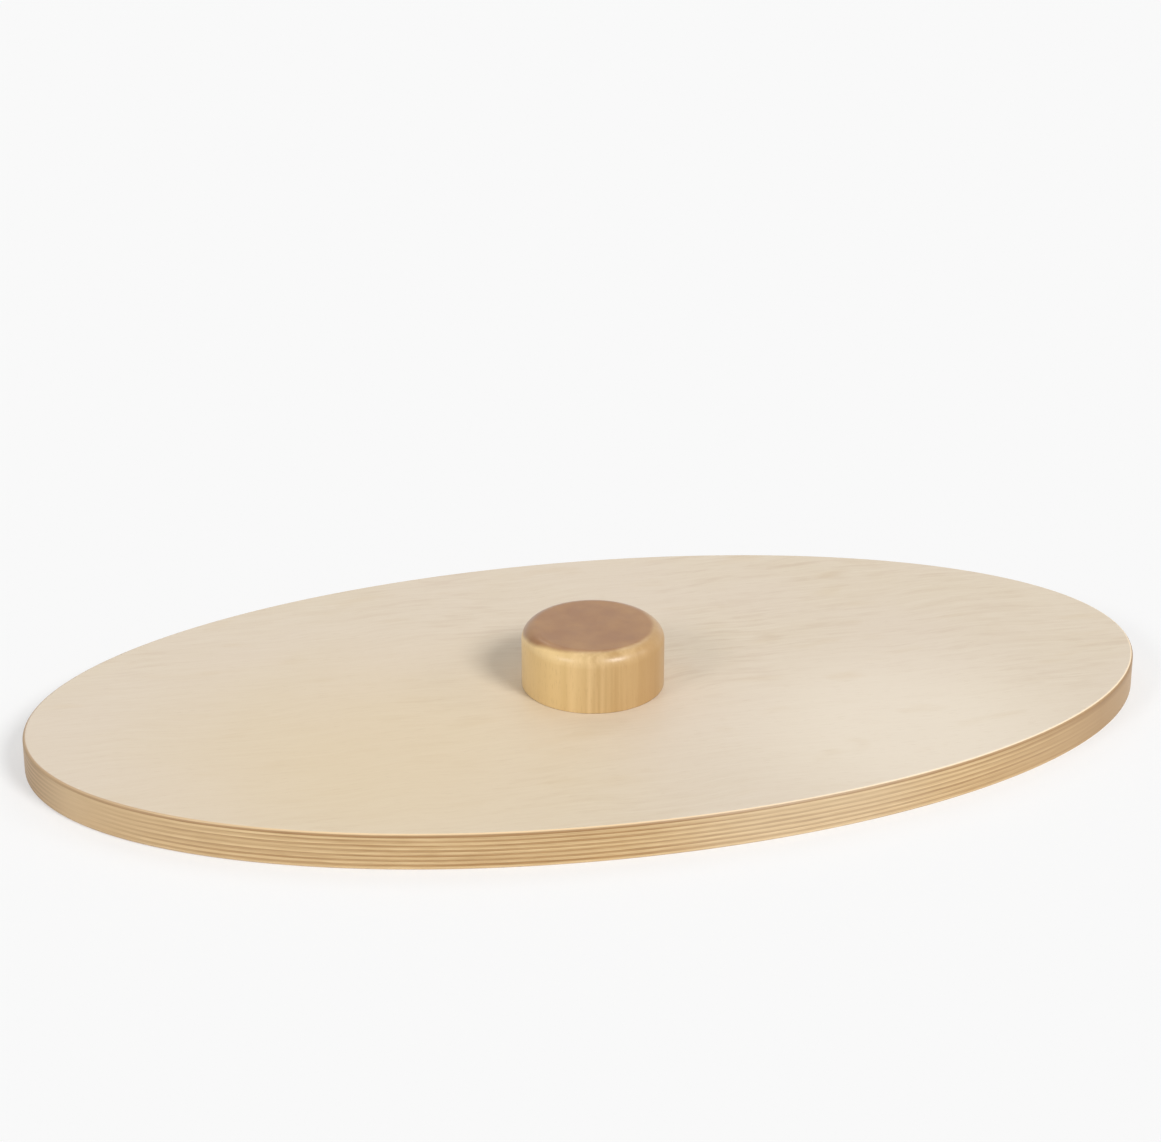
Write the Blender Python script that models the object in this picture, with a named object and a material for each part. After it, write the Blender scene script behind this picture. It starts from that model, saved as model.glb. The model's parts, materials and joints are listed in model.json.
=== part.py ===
"""Oval balance board with a ball maze, lying on its maze face with the rocker foot up.

The deck is plywood. Three ring channels, their gates and three home pockets are routed into its
lower face round a solid island, and a clear disc screwed into a rebate keeps the steel balls in.
The turned foot is centred by a dowel and pulled down by long screws through the island.
Metres, +Z up. The origin is the middle of the maze face.
"""

import math

import bmesh
import bpy
from mathutils import Matrix, Vector

# Clearance left wherever two pieces touch
FIT_GAP = 0.0003

# Deck
BOARD_LENGTH = 0.635
BOARD_WIDTH = 0.330
BOARD_THICKNESS = 0.021
BOARD_EDGE_RADIUS = 0.002

# Rocker foot
FOOT_DIAMETER = 0.080
FOOT_HEIGHT = 0.035
FOOT_EDGE_RADIUS = 0.0085
FOOT_BASE_CHAMFER = 0.0005

# Balls and the channels that they roll in
BALL_DIAMETER = 0.008
BALL_SIDE_PLAY = 0.0015
BALL_HEADROOM = 0.0008
ISLAND_RADIUS = 0.036
RING_WALL = 0.006
STOP_WALL = 0.006
POCKET_REACH = 0.009

# Clear cover and the ledge that it sits on
COVER_THICKNESS = 0.003
COVER_SINK = 0.0004
COVER_EDGE_CHAMFER = 0.0004
LEDGE_WIDTH = 0.017

# Screws: whole length, shank and head diameters, and how far the head sits below its face
COVER_SCREW_COUNT = 8
COVER_SCREW_LENGTH = 0.012
COVER_SCREW_DIAMETER = 0.0035
COVER_SCREW_HEAD = 0.007
COVER_SCREW_TURN = math.radians(22.5)
FOOT_SCREW_LENGTH = 0.040
FOOT_SCREW_DIAMETER = 0.005
FOOT_SCREW_HEAD = 0.010
FOOT_SCREW_CIRCLE = 0.048
HEAD_SINK = 0.0002
HEAD_RIM = 0.0004
RECESS_WIDTH_OF_HEAD = 0.56
RECESS_DEPTH_OF_HEAD = 0.22
RECESS_LOBE_DEPTH = 0.22
SCREW_POINT_OF_LENGTH = 0.14

# Dowel between deck and foot
DOWEL_DIAMETER = 0.012
DOWEL_IN_BOARD = 0.008
DOWEL_IN_FOOT = 0.014
DOWEL_CHAMFER = 0.001

# The maze, in degrees round the middle. Each ring has stop walls, and gates join it to the next one in.
RING_NAMES = ("inner", "middle", "outer")
STOPS = {"inner": (-30,), "middle": (30, 210), "outer": (90,)}
GATES_INWARD = {"middle": (0, 180), "outer": (60, 240)}
BALL_PLACES = {"inner": 90, "middle": 120, "outer": 270}
POCKETS = (30, 150, 270)
FOOT_SCREW_PLACES = (90, 210, 330)

# Facets
CREASE_ANGLE = math.radians(30)
OVAL_SEGMENTS = 128
ROUND_SEGMENTS = 96
FOOT_SEGMENTS = 64
SCREW_SEGMENTS = 12
DOWEL_SEGMENTS = 24
FILLET_SEGMENTS = 6
EASED_SEGMENTS = 3
CHANNEL_STEP = math.radians(5)
CHANNEL_END_STEPS = 8
CUT_OVERRUN = 0.002

# Heights and radii that follow from the sizes above
CHANNEL_WIDTH = BALL_DIAMETER + 2 * BALL_SIDE_PLAY
CHANNEL_HALF = CHANNEL_WIDTH / 2
MAZE_RADIUS = ISLAND_RADIUS + len(RING_NAMES) * (CHANNEL_WIDTH + RING_WALL) - RING_WALL
REBATE_RADIUS = MAZE_RADIUS + LEDGE_WIDTH
COVER_RADIUS = REBATE_RADIUS - FIT_GAP
COVER_SCREW_RING = MAZE_RADIUS + LEDGE_WIDTH / 2
COVER_TOP = COVER_SINK + COVER_THICKNESS
REBATE_DEPTH = COVER_TOP + FIT_GAP
BALL_CENTRE = COVER_TOP + FIT_GAP + BALL_DIAMETER / 2
CHANNEL_ROOF = COVER_TOP + FIT_GAP + BALL_DIAMETER + BALL_HEADROOM
FOOT_BASE = BOARD_THICKNESS + FIT_GAP


def clear_scene():
    for item in list(bpy.data.objects):
        bpy.data.objects.remove(item, do_unlink=True)


def make_material(name, colour, roughness, metallic=0.0, alpha=1.0):
    material = bpy.data.materials.new(name)
    material.use_nodes = True
    shader = material.node_tree.nodes["Principled BSDF"]
    shader.inputs["Base Color"].default_value = (*colour, 1.0)
    shader.inputs["Roughness"].default_value = roughness
    shader.inputs["Metallic"].default_value = metallic
    shader.inputs["Alpha"].default_value = alpha
    return material


def add_object(name, mesh, material=None, place=(0, 0, 0), parent=None):
    piece = bpy.data.objects.new(name, mesh)
    bpy.context.scene.collection.objects.link(piece)
    piece.location = place
    piece.parent = parent
    if material and not mesh.materials:
        mesh.materials.append(material)
    return piece


def finish_mesh(name, bm):
    """Turn the faces outwards and shade the round walls smooth between sharp edges."""
    bmesh.ops.remove_doubles(bm, verts=bm.verts, dist=1e-6)
    bmesh.ops.recalc_face_normals(bm, faces=bm.faces)
    mesh = bpy.data.meshes.new(name)
    bm.to_mesh(mesh)
    bm.free()
    mesh.shade_smooth()
    mesh.set_sharp_from_angle(angle=CREASE_ANGLE)
    return mesh


def add_cutter(name, mesh, place=(0, 0, 0)):
    cutter = add_object(name, mesh, place=place)
    cutter.hide_render = True
    cutter.display_type = "WIRE"
    return cutter


def cut(piece, cutter):
    hole = piece.modifiers.new(cutter.name, "BOOLEAN")
    hole.operation = "DIFFERENCE"
    hole.object = cutter


def crease_nodes():
    """Marks the edges that the cuts leave sharp, so that flat and round faces shade cleanly."""
    group = bpy.data.node_groups.new("sharp creases", "GeometryNodeTree")
    group.is_modifier = True
    for side in ("INPUT", "OUTPUT"):
        group.interface.new_socket("Geometry", in_out=side, socket_type="NodeSocketGeometry")
    start, end = (group.nodes.new(f"NodeGroup{side}") for side in ("Input", "Output"))
    angle = group.nodes.new("GeometryNodeInputMeshEdgeAngle")
    steep = group.nodes.new("FunctionNodeCompare")
    steep.operation = "GREATER_THAN"
    steep.inputs["B"].default_value = CREASE_ANGLE
    sharpen = group.nodes.new("GeometryNodeSetShadeSmooth")
    sharpen.domain = "EDGE"
    sharpen.inputs["Shade Smooth"].default_value = False
    group.links.new(angle.outputs["Unsigned Angle"], steep.inputs["A"])
    group.links.new(steep.outputs["Result"], sharpen.inputs["Selection"])
    group.links.new(start.outputs["Geometry"], sharpen.inputs["Geometry"])
    group.links.new(sharpen.outputs["Geometry"], end.inputs["Geometry"])
    return group


def sharpen_creases(pieces):
    group = crease_nodes()
    for piece in pieces:
        piece.modifiers.new("creases", "NODES").node_group = group


def on_circle(radius, angle):
    return Vector((radius * math.cos(angle), radius * math.sin(angle), 0))


def arc(centre, radius, start, end, steps):
    return [centre + on_circle(radius, start + (end - start) * i / steps) for i in range(steps + 1)]


def prism_mesh(name, outline, bottom, top):
    """A closed outline in the XY plane, extruded from bottom to top."""
    bm = bmesh.new()
    face = bm.faces.new([bm.verts.new(Vector((p.x, p.y, bottom))) for p in outline])
    grown = bmesh.ops.extrude_face_region(bm, geom=[face])["geom"]
    raised = [item for item in grown if isinstance(item, bmesh.types.BMVert)]
    bmesh.ops.translate(bm, verts=raised, vec=(0, 0, top - bottom))
    return finish_mesh(name, bm)


def rim_edges(bm, height):
    """The edges of a flat end at this height."""
    return [e for e in bm.edges if all(abs(v.co.z - height) < 1e-7 for v in e.verts)]


def round_rim(bm, height, radius, segments):
    bmesh.ops.bevel(
        bm, geom=rim_edges(bm, height), offset=radius, offset_type="OFFSET",
        segments=segments, profile=0.5, affect="EDGES", material=-1,
    )


def disc_mesh(name, radii, bottom, top, segments, bottom_round, top_round):
    """A round or oval plate, with each rim given as (radius, segments)."""
    bm = bmesh.new()
    bmesh.ops.create_cone(bm, cap_ends=True, segments=segments, radius1=1, radius2=1, depth=1)
    bmesh.ops.scale(bm, verts=bm.verts, vec=(radii[0], radii[1], top - bottom))
    bmesh.ops.translate(bm, verts=bm.verts, vec=(0, 0, (bottom + top) / 2))
    for height, (radius, steps) in ((bottom, bottom_round), (top, top_round)):
        if radius:
            round_rim(bm, height, radius, steps)
    return finish_mesh(name, bm)


def turned_mesh(name, profile, segments):
    """A profile of (radius, height) points turned round Z. Its ends lie on the axis or are capped."""
    bm = bmesh.new()
    points = [bm.verts.new((radius, 0, height)) for radius, height in profile]
    edges = [bm.edges.new(pair) for pair in zip(points, points[1:])]
    bmesh.ops.spin(
        bm, geom=points + edges, cent=(0, 0, 0), axis=(0, 0, 1),
        angle=math.tau, steps=segments, use_merge=True,
    )
    bmesh.ops.remove_doubles(bm, verts=bm.verts, dist=1e-6)
    open_rim = [e for e in bm.edges if e.is_boundary]
    if open_rim:
        bmesh.ops.contextual_create(bm, geom=open_rim)
    return bm


def screw_profile(length, diameter, head, grow=0.0, overrun=0.0):
    """A countersunk screw, head face at height 0 and point upwards, grown all round for its hole."""
    shank, rim = diameter / 2 + grow, head / 2 + grow
    shoulder = HEAD_RIM + rim - shank
    point = SCREW_POINT_OF_LENGTH * length
    end = length + grow
    blunt = [(shank, end), (0, end)]
    pointed = [(shank, end - point), (0, end)]
    return [(rim, -overrun), (rim, HEAD_RIM), (shank, shoulder)] + (blunt if grow else pointed)


def screw_mesh(name, length, diameter, head):
    """The screw, with a six-lobed recess pressed into its head."""
    bm = turned_mesh(name, screw_profile(length, diameter, head), SCREW_SEGMENTS)
    face = max((f for f in bm.faces if len(f.verts) == SCREW_SEGMENTS), key=lambda f: f.calc_area())
    width = RECESS_WIDTH_OF_HEAD * head / 2
    bmesh.ops.inset_region(bm, faces=[face], thickness=head / 2 - width)
    for i, corner in enumerate(face.verts):
        corner.co *= 1 - RECESS_LOBE_DEPTH * (i % 2)
    floor = bmesh.ops.extrude_discrete_faces(bm, faces=[face])["faces"][0]
    bmesh.ops.translate(bm, verts=floor.verts, vec=(0, 0, RECESS_DEPTH_OF_HEAD * head))
    return finish_mesh(name, bm)


def screw_hole_mesh(name, length, diameter, head):
    profile = screw_profile(length, diameter, head, grow=FIT_GAP, overrun=CUT_OVERRUN)
    return finish_mesh(name, turned_mesh(name, [(0, -CUT_OVERRUN)] + profile, SCREW_SEGMENTS))


def ring_radius(name):
    return ISLAND_RADIUS + CHANNEL_HALF + RING_NAMES.index(name) * (CHANNEL_WIDTH + RING_WALL)


def stop_half_angle(radius):
    """From the middle of a stop wall to the centre of a channel's round end."""
    return math.asin((CHANNEL_WIDTH + STOP_WALL) / (2 * radius))


def channel_outline(radius, start, end):
    """A curved slot with half-round ends, as a round cutter leaves it."""
    steps = math.ceil((end - start) / CHANNEL_STEP)
    middle = Vector((0, 0, 0))
    half_turn = math.pi
    outer = arc(middle, radius + CHANNEL_HALF, start, end, steps)
    far_end = arc(on_circle(radius, end), CHANNEL_HALF, end, end + half_turn, CHANNEL_END_STEPS)
    inner = arc(middle, radius - CHANNEL_HALF, end, start, steps)
    near_end = arc(
        on_circle(radius, start), CHANNEL_HALF, start + half_turn, start + math.tau, CHANNEL_END_STEPS
    )
    return outer + far_end[1:-1] + inner + near_end[1:-1]


def gate_outline(angle, inner_radius, outer_radius):
    """A straight gap through a ring wall, from the middle of one channel to the middle of the next."""
    corners = [
        (inner_radius, -CHANNEL_HALF), (outer_radius, -CHANNEL_HALF),
        (outer_radius, CHANNEL_HALF), (inner_radius, CHANNEL_HALF),
    ]
    turn = Matrix.Rotation(angle, 3, "Z")
    return [turn @ Vector((along, across, 0)) for along, across in corners]


def pocket_outline(angle):
    """A home pocket: a short round-ended slot from the inner ring into the island."""
    centre = Vector((ISLAND_RADIUS - POCKET_REACH, 0, 0))
    round_end = arc(centre, CHANNEL_HALF, math.pi / 2, 3 * math.pi / 2, 2 * CHANNEL_END_STEPS)
    mouth = ring_radius("inner")
    outline = round_end + [Vector((mouth, -CHANNEL_HALF, 0)), Vector((mouth, CHANNEL_HALF, 0))]
    turn = Matrix.Rotation(angle, 3, "Z")
    return [turn @ point for point in outline]


def maze_outlines():
    """Every routed slot of the maze, with its name."""
    for name in RING_NAMES:
        radius = ring_radius(name)
        stops = [math.radians(stop) for stop in STOPS[name]]
        margin = stop_half_angle(radius)
        for i, (start, end) in enumerate(zip(stops, stops[1:] + [stops[0] + math.tau])):
            yield f"{name}_channel_{i + 1}", channel_outline(radius, start + margin, end - margin)
        for i, gate in enumerate(GATES_INWARD.get(name, ())):
            inner = ring_radius(RING_NAMES[RING_NAMES.index(name) - 1])
            yield f"{name}_gate_{i + 1}", gate_outline(math.radians(gate), inner, radius)
    for i, pocket in enumerate(POCKETS):
        yield f"pocket_{i + 1}", pocket_outline(math.radians(pocket))


def make_board():
    eased = (BOARD_EDGE_RADIUS, EASED_SEGMENTS)
    mesh = disc_mesh(
        "board", (BOARD_LENGTH / 2, BOARD_WIDTH / 2), 0, BOARD_THICKNESS, OVAL_SEGMENTS, eased, eased
    )
    board = add_object("board", mesh, make_material("birch plywood", (0.76, 0.64, 0.48), 0.4))
    rebate = disc_mesh(
        "rebate", (REBATE_RADIUS, REBATE_RADIUS), -CUT_OVERRUN, REBATE_DEPTH, ROUND_SEGMENTS,
        (0, 0), (0, 0),
    )
    cut(board, add_cutter("rebate", rebate))
    for name, outline in maze_outlines():
        cut(board, add_cutter(name, prism_mesh(name, outline, CUT_OVERRUN, CHANNEL_ROOF)))
    return board


def make_foot():
    radii = (FOOT_DIAMETER / 2, FOOT_DIAMETER / 2)
    mesh = disc_mesh(
        "rocker_foot", radii, FOOT_BASE, FOOT_BASE + FOOT_HEIGHT, FOOT_SEGMENTS,
        (FOOT_BASE_CHAMFER, 1), (FOOT_EDGE_RADIUS, FILLET_SEGMENTS),
    )
    return add_object("rocker_foot", mesh, make_material("beech", (0.62, 0.42, 0.22), 0.3))


def make_cover():
    mesh = disc_mesh(
        "maze_cover", (COVER_RADIUS, COVER_RADIUS), COVER_SINK, COVER_TOP, ROUND_SEGMENTS,
        (COVER_EDGE_CHAMFER, 1), (0, 0),
    )
    return add_object("maze_cover", mesh, make_material("clear acrylic", (0.9, 0.94, 0.95), 0.05, alpha=0.3))


def make_cover_screws(board, cover):
    sizes = (COVER_SCREW_LENGTH, COVER_SCREW_DIAMETER, COVER_SCREW_HEAD)
    mesh = screw_mesh("cover_screw", *sizes)
    hole = screw_hole_mesh("cover_screw_hole", *sizes)
    steel = make_material("zinc plated steel", (0.62, 0.62, 0.6), 0.3, metallic=1.0)
    for i in range(COVER_SCREW_COUNT):
        angle = COVER_SCREW_TURN + math.tau * i / COVER_SCREW_COUNT
        place = on_circle(COVER_SCREW_RING, angle) + Vector((0, 0, COVER_SINK + HEAD_SINK))
        add_object(f"cover_screw_{i + 1}", mesh, steel, place)
        cutter = add_cutter(f"cover_screw_hole_{i + 1}", hole, place)
        cut(cover, cutter)
        cut(board, cutter)


def make_foot_screws(board, foot):
    sizes = (FOOT_SCREW_LENGTH, FOOT_SCREW_DIAMETER, FOOT_SCREW_HEAD)
    mesh = screw_mesh("foot_screw", *sizes)
    hole = screw_hole_mesh("foot_screw_hole", *sizes)
    steel = make_material("yellow zinc plated steel", (0.7, 0.6, 0.38), 0.3, metallic=1.0)
    for i, angle in enumerate(FOOT_SCREW_PLACES):
        place = on_circle(FOOT_SCREW_CIRCLE / 2, math.radians(angle))
        place += Vector((0, 0, REBATE_DEPTH + HEAD_SINK))
        add_object(f"foot_screw_{i + 1}", mesh, steel, place)
        cutter = add_cutter(f"foot_screw_hole_{i + 1}", hole, place)
        cut(board, cutter)
        cut(foot, cutter)


def make_dowel(board, foot):
    radius = DOWEL_DIAMETER / 2
    bottom = BOARD_THICKNESS - DOWEL_IN_BOARD
    top = FOOT_BASE + DOWEL_IN_FOOT
    rounded = (DOWEL_CHAMFER, 1)
    mesh = disc_mesh("foot_dowel", (radius, radius), bottom, top, DOWEL_SEGMENTS, rounded, rounded)
    add_object("foot_dowel", mesh, make_material("dowel beech", (0.64, 0.45, 0.27), 0.6))
    wall = radius + FIT_GAP
    socket = disc_mesh(
        "dowel_socket", (wall, wall), bottom - FIT_GAP, top + FIT_GAP, DOWEL_SEGMENTS, (0, 0), (0, 0)
    )
    cutter = add_cutter("dowel_socket", socket)
    cut(board, cutter)
    cut(foot, cutter)


def make_balls():
    """Each ball hangs on an empty on the rings' axis, turned to the place where the ball rests."""
    bm = bmesh.new()
    bmesh.ops.create_uvsphere(bm, u_segments=20, v_segments=12, radius=BALL_DIAMETER / 2)
    mesh = finish_mesh("ball", bm)
    steel = make_material("polished steel", (0.72, 0.72, 0.73), 0.12, metallic=1.0)
    for name in RING_NAMES:
        axis = bpy.data.objects.new(f"{name}_ring_axis", None)
        bpy.context.scene.collection.objects.link(axis)
        axis.rotation_euler.z = math.radians(BALL_PLACES[name])
        add_object(f"ball_{name}", mesh, steel, (ring_radius(name), 0, BALL_CENTRE), axis)


def main():
    clear_scene()
    board = make_board()
    foot = make_foot()
    cover = make_cover()
    make_cover_screws(board, cover)
    make_foot_screws(board, foot)
    make_dowel(board, foot)
    sharpen_creases((board, foot, cover))
    make_balls()


main()
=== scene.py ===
"""A maze balance board, lying on its maze face with the rocker foot up, on a pale studio floor.

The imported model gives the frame. Each visible piece is made again here with finer faces, eased edges
and its own procedural material, in metres, in that frame. The ball maze is on the side that lies down.
"""

import json
import math

import bmesh
import bpy
from mathutils import Matrix, Vector

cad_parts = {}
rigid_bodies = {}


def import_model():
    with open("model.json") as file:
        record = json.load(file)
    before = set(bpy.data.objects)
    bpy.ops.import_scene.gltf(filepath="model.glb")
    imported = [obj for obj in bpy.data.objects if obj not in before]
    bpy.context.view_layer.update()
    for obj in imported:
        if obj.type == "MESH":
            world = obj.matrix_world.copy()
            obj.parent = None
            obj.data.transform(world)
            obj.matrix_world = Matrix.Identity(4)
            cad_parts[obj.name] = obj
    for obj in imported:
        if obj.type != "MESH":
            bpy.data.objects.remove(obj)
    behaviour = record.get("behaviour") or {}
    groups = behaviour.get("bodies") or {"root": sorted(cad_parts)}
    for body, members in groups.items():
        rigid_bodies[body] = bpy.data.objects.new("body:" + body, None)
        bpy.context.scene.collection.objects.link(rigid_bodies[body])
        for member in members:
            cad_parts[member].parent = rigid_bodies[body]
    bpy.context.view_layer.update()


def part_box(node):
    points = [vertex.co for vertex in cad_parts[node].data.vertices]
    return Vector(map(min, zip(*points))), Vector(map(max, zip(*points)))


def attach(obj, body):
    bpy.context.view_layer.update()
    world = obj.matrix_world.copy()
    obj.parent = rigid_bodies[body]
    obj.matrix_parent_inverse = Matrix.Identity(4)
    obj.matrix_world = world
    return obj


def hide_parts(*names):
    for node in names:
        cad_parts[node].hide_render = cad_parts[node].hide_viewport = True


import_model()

UP = Vector((0, 0, 1))
ORIGIN = Vector((0, 0, 0))
MM = 0.001

# Clearance between pieces that touch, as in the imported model
FIT_GAP = 0.3 * MM

# Deck: fifteen plies, the face ones sanded thin
_, DECK_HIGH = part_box("board")
DECK_RADII = (DECK_HIGH.x, DECK_HIGH.y)
DECK_TOP = DECK_HIGH.z
DECK_EDGE_RADIUS = 2.0 * MM
PLY_COUNT = 15
PLY = DECK_TOP / PLY_COUNT
FACE_PLY = 0.5 * MM

# What the noise that wavers the plies spans, and the depths under a face between which the brown line
# on its rim fades in
PLY_WAVER = 1.0 * MM
RIM_LINE_START, RIM_LINE_FULL = 1.9 * MM, 1.3 * MM

# Rocker foot
_, FOOT_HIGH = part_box("rocker_foot")
FOOT_RADIUS = FOOT_HIGH.x
FOOT_EDGE_RADIUS = 8.5 * MM
FOOT_BASE_EASE = 0.4 * MM
GLUE_LINE = 0.03 * MM

# Clear cover and the rebate that it lies in
COVER_LOW, COVER_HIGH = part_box("maze_cover")
COVER_RADIUS = COVER_HIGH.x
COVER_EASE = 0.4 * MM
REBATE_RADIUS = COVER_RADIUS + FIT_GAP
LEDGE = COVER_HIGH.z + FIT_GAP

# Routed maze: widths in metres, places in degrees round the middle
CHANNEL_HALF = 5.5 * MM
CHANNEL_ROOF = 12.5 * MM
RING_RADII = {"inner": 41.5 * MM, "middle": 58.5 * MM, "outer": 75.5 * MM}
STOP_WALL = 6 * MM
STOPS = {"inner": (-30,), "middle": (30, 210), "outer": (90,)}
GATES = {("inner", "middle"): (0, 180), ("middle", "outer"): (60, 240)}
POCKETS = (30, 150, 270)
POCKET_CENTRE = 27 * MM
MOUTH_EASE = 0.5 * MM
ROOF_EASE = 0.4 * MM
OVERRUN = 1.5 * MM

# Steel balls, each in its ring
BALL_RADIUS = 4 * MM
BALL_CENTRE = LEDGE + BALL_RADIUS
BALL_PLACES = {"inner": 90, "middle": 120, "outer": 270}

# Screws: whole length, shank, head and thread pitch, then the circle they stand on and their places
COVER_SCREW = {"length": 12 * MM, "shank": 3.5 * MM, "head": 7 * MM, "pitch": 1.3 * MM}
COVER_SCREW_CIRCLE = 89.5 * MM
COVER_SCREW_PLACES = [22.5 + 45 * i for i in range(8)]
COVER_SCREW_FACE = COVER_LOW.z + 0.2 * MM
FOOT_SCREW = {"length": 40 * MM, "shank": 5 * MM, "head": 10 * MM, "pitch": 2.0 * MM}
FOOT_SCREW_CIRCLE = 24 * MM
FOOT_SCREW_PLACES = (90, 210, 330)
FOOT_SCREW_FACE = LEDGE + 0.2 * MM
HEAD_RIM = 0.4 * MM
HEAD_EASE = 0.12 * MM
POINT_SHARE = 0.14

# How far each screw is turned for each degree of its place, so that no two recesses stand alike
TURN_PER_PLACE = 3.7

# Past the head's cone, as shares of the shank: the plain neck's end, its taper's end and the thread's
# start. Then the root's thickness as a share of the shank, half the thread's width as a share of its
# pitch, and how deep it is sunk in the root.
NECK_SHARE, TAPER_SHARE, THREAD_START_SHARE = 0.5, 0.65, 0.9
THREAD_ROOT_SHARE = 0.72
THREAD_HALF_SHARE = 0.22
THREAD_SUNK = 0.02 * MM

# Six-lobed recess: its radius as a share of the head's width, and how far in the lobes' valleys come.
# Each step down into it is a depth, as a share of the head's width, and a width beside the step above.
RECESS_SHARE = 0.28
LOBES = 6
LOBE_DEPTH = 0.22
RECESS_FLOORS = ((0.05, 0.93), (0.2, 0.9))

# Dowel between deck and foot
DOWEL_LOW, DOWEL_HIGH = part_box("foot_dowel")
DOWEL_RADIUS = DOWEL_HIGH.x
DOWEL_EASE = 1.0 * MM
DOWEL_END_SHARE = 0.84
DOWEL_FLUTES = 16
FLUTE_DEPTH = 0.3 * MM

# Facets: round each piece, hole, turn of thread and flute, across the rounded edges, and on the balls.
# Along a channel, it is the degrees that one takes.
OVAL_STEPS = 256
FOOT_STEPS = 160
COVER_STEPS = 192
HOLE_STEPS = 48
SCREW_STEPS = 36
THREAD_STEPS = 18
FLUTE_STEPS = 6
CHANNEL_FACET_DEGREES = 2.5
CHANNEL_END_STEPS = 14
DECK_EDGE_FACETS = 6
FOOT_EDGE_FACETS = 16
EASE_FACETS = 2
BALL_SPLITS = 5
CREASE = math.radians(30)


def unit(degrees):
    """A level direction, in degrees from +X."""
    angle = math.radians(degrees)
    return Vector((math.cos(angle), math.sin(angle), 0))


def finished(name, bm, merge=1e-7):
    """The bmesh as a mesh with closed seams, faces outwards and smooth shading between its creases."""
    bmesh.ops.remove_doubles(bm, verts=bm.verts, dist=merge)
    bmesh.ops.recalc_face_normals(bm, faces=bm.faces)
    mesh = bpy.data.meshes.new(name)
    bm.to_mesh(mesh)
    bm.free()
    mesh.shade_smooth()
    mesh.set_sharp_from_angle(angle=CREASE)
    return mesh


def add_piece(name, mesh, material, body, replaced):
    """Puts a mesh in the scene on its CAD body, in place of the CAD node that it refines."""
    piece = bpy.data.objects.new(name, mesh)
    bpy.context.scene.collection.objects.link(piece)
    mesh.materials.clear()
    mesh.materials.append(material)
    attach(piece, body)
    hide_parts(replaced)
    return piece


def even_shading(piece):
    """Keeps wide flat faces flat beside the small round ones."""
    weighted = piece.modifiers.new("even shading", "WEIGHTED_NORMAL")
    weighted.keep_sharp = True
    weighted.weight = 100


def plate(radii, bottom, top, steps, bottom_ease, top_ease):
    """A round or oval plate. Each ease is the rim's (radius, facets)."""
    bm = bmesh.new()
    bmesh.ops.create_circle(bm, cap_ends=True, segments=steps, radius=1)
    bmesh.ops.scale(bm, verts=bm.verts, vec=(radii[0], radii[1], 1))
    bmesh.ops.translate(bm, verts=bm.verts, vec=UP * bottom)
    grown = bmesh.ops.extrude_face_region(bm, geom=bm.faces[:])["geom"]
    raised = [item for item in grown if isinstance(item, bmesh.types.BMVert)]
    bmesh.ops.translate(bm, verts=raised, vec=UP * (top - bottom))
    for height, (radius, facets) in ((bottom, bottom_ease), (top, top_ease)):
        if radius:
            rim = [e for e in bm.edges if all(abs(v.co.z - height) < 1e-7 for v in e.verts)]
            bmesh.ops.bevel(
                bm, geom=rim, offset=radius, offset_type="OFFSET", segments=facets,
                profile=0.5, affect="EDGES", material=-1,
            )
    return bm


def add_section(bm, origin, direction, section):
    """A run of edges from (across, height) points, standing on origin and facing along direction."""
    points = [bm.verts.new(origin + direction * across + UP * height) for across, height in section]
    return points, [bm.edges.new(pair) for pair in zip(points, points[1:])]


def turned(section, steps, axis=ORIGIN):
    """A section of (radius, height) points turned once round an upright axis."""
    bm = bmesh.new()
    points, edges = add_section(bm, axis, unit(0), section)
    bmesh.ops.spin(
        bm, geom=points + edges, cent=axis, axis=UP, angle=math.tau, steps=steps, use_merge=True
    )
    bmesh.ops.remove_doubles(bm, verts=bm.verts, dist=1e-7)
    return bm


# Half of a routed channel's section, from the middle of its roof to the eased mouth
HALF_SECTION = [
    (0, CHANNEL_ROOF),
    (CHANNEL_HALF - ROOF_EASE, CHANNEL_ROOF),
    (CHANNEL_HALF, CHANNEL_ROOF - ROOF_EASE),
    (CHANNEL_HALF, LEDGE + MOUTH_EASE),
    (CHANNEL_HALF + MOUTH_EASE, LEDGE),
    (CHANNEL_HALF + MOUTH_EASE, LEDGE - OVERRUN),
]
WHOLE_SECTION = [(-across, height) for across, height in reversed(HALF_SECTION)] + HALF_SECTION[1:]


def close_mouth(bm):
    """Joins the seams and fills the flat opening that is left at the mouth."""
    bmesh.ops.remove_doubles(bm, verts=bm.verts, dist=1e-6)
    bmesh.ops.holes_fill(bm, edges=[e for e in bm.edges if e.is_boundary], sides=0)
    return bm


def channel(radius, start, end):
    """What the cutter takes out along a ring from start to end, with its half-round ends."""
    bm = bmesh.new()
    points, edges = add_section(bm, unit(start) * radius, unit(start), WHOLE_SECTION)
    bmesh.ops.spin(
        bm, geom=points + edges, cent=ORIGIN, axis=UP,
        angle=math.radians(end - start), steps=math.ceil((end - start) / CHANNEL_FACET_DEGREES),
    )
    for place, facing in ((end, end), (start, start + 180)):
        centre = unit(place) * radius
        points, edges = add_section(bm, centre, unit(facing), HALF_SECTION)
        bmesh.ops.spin(
            bm, geom=points + edges, cent=centre, axis=UP, angle=math.pi, steps=CHANNEL_END_STEPS
        )
    return close_mouth(bm)


def gate(place, inner, outer):
    """A straight gap through a ring wall, from the middle of one channel to the middle of the next."""
    bm = bmesh.new()
    points, _ = add_section(bm, unit(place) * inner, unit(place + 90), WHOLE_SECTION)
    grown = bmesh.ops.extrude_face_region(bm, geom=[bm.faces.new(points)])["geom"]
    moved = [item for item in grown if isinstance(item, bmesh.types.BMVert)]
    bmesh.ops.translate(bm, verts=moved, vec=unit(place) * (outer - inner))
    return bm


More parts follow.
